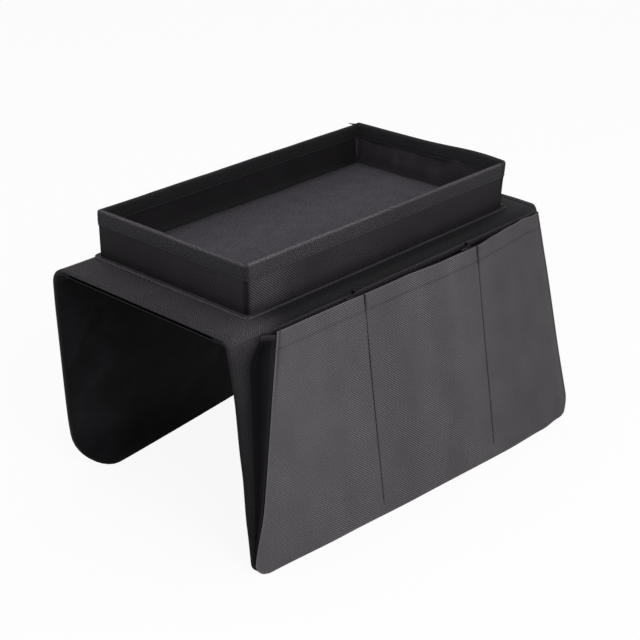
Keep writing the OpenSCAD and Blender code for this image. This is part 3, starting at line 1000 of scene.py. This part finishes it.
def gusset_place(i, j):
    s, t = i / 14, 1 - j / 40
    low, high = mix(2, GUSSET_LEN, t), mix(-1.2, GUSSET_LEN, t)
    foot = Vector(near_panel.hang(gusset_foot(low), low, 0.2))
    edge = Vector(near_panel.hang(front_left(0, high) + 0.5, high,
                                  front_off(0, 0, high) - 0.1))
    sag = 1.8 * math.sin(math.pi * s) * math.sin(math.pi * min(1, t + 0.12)) * (1 - t)
    return foot.lerp(edge, s) + Vector((sag, 0, 0))


# Painted shade in the fold where the gusset meets the flap, lighter towards the pocket's edge,
# and a painted highlight along its top edge.
def gusset_painted_light(i, j):
    s, top = i / 14, bump(40 - j, 0, 0.6)
    return along([(0, 0.35), (0.3, 0.2), (0.6, 0.5), (1, 1.5)], s) + 3.5 * top, 0.9


gusset = cloth("left_gusset_cloth", 14, 40, gusset_place, lambda i, j, _: (i * 1.8, j * 4.2),
               0.7, shaded_oxford, painted_light_and_ribs=gusset_painted_light)
crossing(gusset, -168)
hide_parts("gusset_left")
PLEAT_ROWS = (0, 0.8, 2, 4, 8) + tuple(8 + (PLEAT_LEN - 8) * k / 20 for k in range(1, 21))


def pleat_place(p):
    """Divider folded flat in behind front p's right edge: from the front in to the fold, back
    to the seam, and on to the flap."""
    def place(i, j):
        u = PLEAT_ROWS[len(PLEAT_ROWS) - 1 - j]
        x = front_right(p, u) - 0.4
        v = u + along(MOUTH_TOP, x) * (1 - ease(u / 60)) + 0.3
        off, deep = front_off(p, 1, v), 16 * (1 - 0.5 * u / PLEAT_LEN)
        dx, share = between([(0, 0.97), (-0.5 * deep, 0.88), (-deep, 0.74), (-0.5 * deep, 0.62),
                             (-0.1 * deep, 0.5), (0, 0.25), (0, 0.02)], i / 24)
        return near_panel.hang(x + dx, v, max(0.2, share * off))
    return place


# The pleats' top edge gets a painted highlight where it folds over at the mouth.
for p, where in enumerate(("left", "right")):
    pleat = cloth(f"{where}_pleat_cloth", 24, len(PLEAT_ROWS) - 1, pleat_place(p),
                  lambda i, j, _: (i * 1.8, -PLEAT_ROWS[len(PLEAT_ROWS) - 1 - j]), 0.6,
                  shaded_oxford,
                  painted_light_and_ribs=lambda i, j: (mix(1, 6 if i < 17 else 1.5,
                                         bump(len(PLEAT_ROWS) - 1 - j, 0, 0.7)), 0.8))
    crossing(pleat, front_left(p + 1, 0))
    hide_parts(f"pleat_{where}")


# ---- Stitching ----
def sewn(name, body, rows, finish, **sizes):
    piece = stitches(name, rows, finish, **sizes)
    if body:
        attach(piece, body)
    return piece


def binding_row(inset, facing):
    row = []
    for i in range(len(RING)):
        k = i % COLUMNS
        _, _, ox, oy, _, _ = ring(k, 0, 3)
        row.append((tray_point(k, inset, low + 1.6, 3), (ox * facing, oy * facing, 0)))
    return row


def flap_row(panel, inset):
    """Run of stitches round a flap, inset from its edge, on its outer face."""
    row = []
    for x, q, nx, nq in panel.outline(40):
        if q > 3:
            row.append((panel.place(x - inset * nx, q - inset * nq, 0.2),
                        (0, panel.side, 0.2)))
    return row


def front_row(p, u):
    return [(Vector(front_skin(p, i, u)) + Vector((0, 0.15, 0)), (0, -1, 0.2))
            for i in range(3, FRONT_COLUMNS - 2)]


def seam_row(p, top, bottom):
    """Run of stitches down front p's right-hand seam."""
    row = []
    for k in range(41):
        u = mix(top, bottom, k / 40)
        x, v, left, right = front_spot(p, FRONT_COLUMNS, u)
        off = front_off(p, 1, v) + FRONT_T - mix(1.2, 0.6, ease(u / 30)) + 0.1
        row.append((near_panel.hang(x, v, off), (0, -1, 0.2)))
    return row


sewn("binding_stitches", "root", [binding_row(-0.42, 1), binding_row(4.3, -1)], tape_thread)
sewn("saddle_end_stitches", "root",
     [[((hand * (HALF_LEN - 5.9), y, SADDLE_T + 0.3), (0, 0, 1)) for y in range(-96, 93, 4)]
      for hand in (-1, 1)], tape_thread)
sewn("near_flap_stitches", "near_flap", [flap_row(near_panel, 2.1)], seam_thread)
sewn("far_flap_stitches", "far_flap", [flap_row(far_panel, 2.1)], seam_thread)
for p, where in enumerate(FRONT_NAMES):
    row = sewn(f"mouth_stitches_{where}", f"pocket_{where}" if p < 2 else None,
               [front_row(p, MOUTH_HEM)], seam_thread)
    if p == 2:
        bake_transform(row)
for p, where in enumerate(("left", "middle")):
    sewn(f"seam_stitches_{where}", f"pocket_{where}", [seam_row(p, 18, 170)], seam_thread,
         girth=0.6)
    sewn(f"bar_tacks_{where}", f"pocket_{where}",
         [seam_row(p, 1.5, 9 if p == 0 else 18), seam_row(p, 168, 171.5),
          seam_row(p, 176, 177.6)], seam_thread, length=2.2, pitch=1.5, girth=1.3)

# ---- The carried-over boards ----
for name in ("saddle_board", "tray_floor_board"):
    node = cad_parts[name]
    node.data.materials.clear()
    node.data.materials.append(board)

# ---- Camera ----
AZIMUTH, ELEVATION, ROLL = (math.radians(a) for a in (-46.718, 25.141, -0.244))
back = Vector((math.sin(AZIMUTH) * math.cos(ELEVATION),
               -math.cos(AZIMUTH) * math.cos(ELEVATION), math.sin(ELEVATION)))
level = Vector((math.cos(AZIMUTH), math.sin(AZIMUTH), 0))
above = back.cross(level)
right = level * math.cos(ROLL) + above * math.sin(ROLL)
up = above * math.cos(ROLL) - level * math.sin(ROLL)
camera = bpy.data.objects.new("camera", bpy.data.cameras.new("camera"))
camera.data.lens = 81.54
camera.data.sensor_width = 36
eye = (back * 3.925 + level * 0.0294 + above * -0.2408) * 0.32 + Vector((0.005, 0.003, 0.0042))
camera.matrix_world = Matrix.Translation(eye) @ Matrix((right, up, back)).transposed().to_4x4()
bpy.context.scene.collection.objects.link(camera)
bpy.context.scene.camera = camera


# ---- Floor, lamps and background ----
def lamp(name, spot, size, power):
    """Square soft box at spot, aimed at the tray."""
    light = bpy.data.objects.new(name, bpy.data.lights.new(name, "AREA"))
    light.data.size, light.data.energy = size, power
    light.location = spot
    aim = Vector((0, 0, -0.05)) - Vector(spot)
    light.rotation_euler = aim.to_track_quat("-Z", "Y").to_euler()
    bpy.context.scene.collection.objects.link(light)


lamp("key_softbox", (-0.5, -1.5, 1.1), 1.0, 17)
lamp("fill_softbox", (1.5, -1.2, 0.9), 1.2, 4)
lamp("top_softbox", (0.1, 0.4, 1.9), 1.2, 7)

scene = bpy.context.scene
scene.view_settings.view_transform = "Standard"
world = bpy.data.worlds.new("studio")
scene.world = world
world.use_nodes = True
sky = world.node_tree
sky.nodes.clear()
rays = add(sky, "LightPath")
seen = add(sky, "Math", {0: rays.outputs["Is Camera Ray"], 1: rays.outputs["Is Glossy Ray"]},
           operation="MAXIMUM")
seen_too = add(sky, "Math", {0: seen.outputs[0], 1: rays.outputs["Is Transmission Ray"]},
               operation="MAXIMUM")
strength = add(sky, "MapRange", {"Value": seen_too.outputs[0], "To Min": 0.45, "To Max": 1})
glow = add(sky, "Background", {"Color": (1, 1, 1, 1), "Strength": strength.outputs[0]})
add(sky, "OutputWorld", {"Surface": glow.outputs[0]})

bm = bmesh.new()
bmesh.ops.create_grid(bm, x_segments=1, y_segments=1, size=6)
bmesh.ops.translate(bm, verts=bm.verts, vec=(0, 0, -(FLAP_DROP + 0.9) * MM))
paper, paper_tree, paper_shader = new_material("white_paper_floor", Roughness=0.9)
paper_shader.inputs["Base Color"].default_value = linear("#fbfbfb")
paper_rays = add(paper_tree, "LightPath")
paper_seen = add(paper_tree, "Math", {0: paper_rays.outputs["Is Camera Ray"],
                                      1: paper_rays.outputs["Is Glossy Ray"]},
                 operation="MAXIMUM")
paper_glow = add(paper_tree, "Emission", {"Color": (1, 1, 1, 1), "Strength": 1})
share = add(paper_tree, "Math", {0: paper_seen.outputs[0], 1: 0.92}, operation="MULTIPLY")
paper_mix = add(paper_tree, "MixShader", {0: share.outputs[0], 1: paper_shader.outputs[0],
                                          2: paper_glow.outputs[0]})
paper_tree.links.new(paper_mix.outputs[0], paper_tree.nodes["Material Output"].inputs[0])
floor = finished("floor", bm, paper)

SLOTS = {"oxford_cloth": (near_cloth, far_cloth, near_hem, far_hem, walls, welt, gusset,
                          *(bpy.data.objects[f"{w}_pleat_cloth"] for w in ("left", "right"))),
         "pocket_cloth": (*fronts, *mouth_hems), "lining_cloth": (near_back, far_back,
                                                                  inner_cloth),
         "binding_tape": (binding,), "brushed_mat": (mat,),
         "stiffening_board": (near_board, far_board, boards)}
for slot, pieces in SLOTS.items():
    for piece in pieces:
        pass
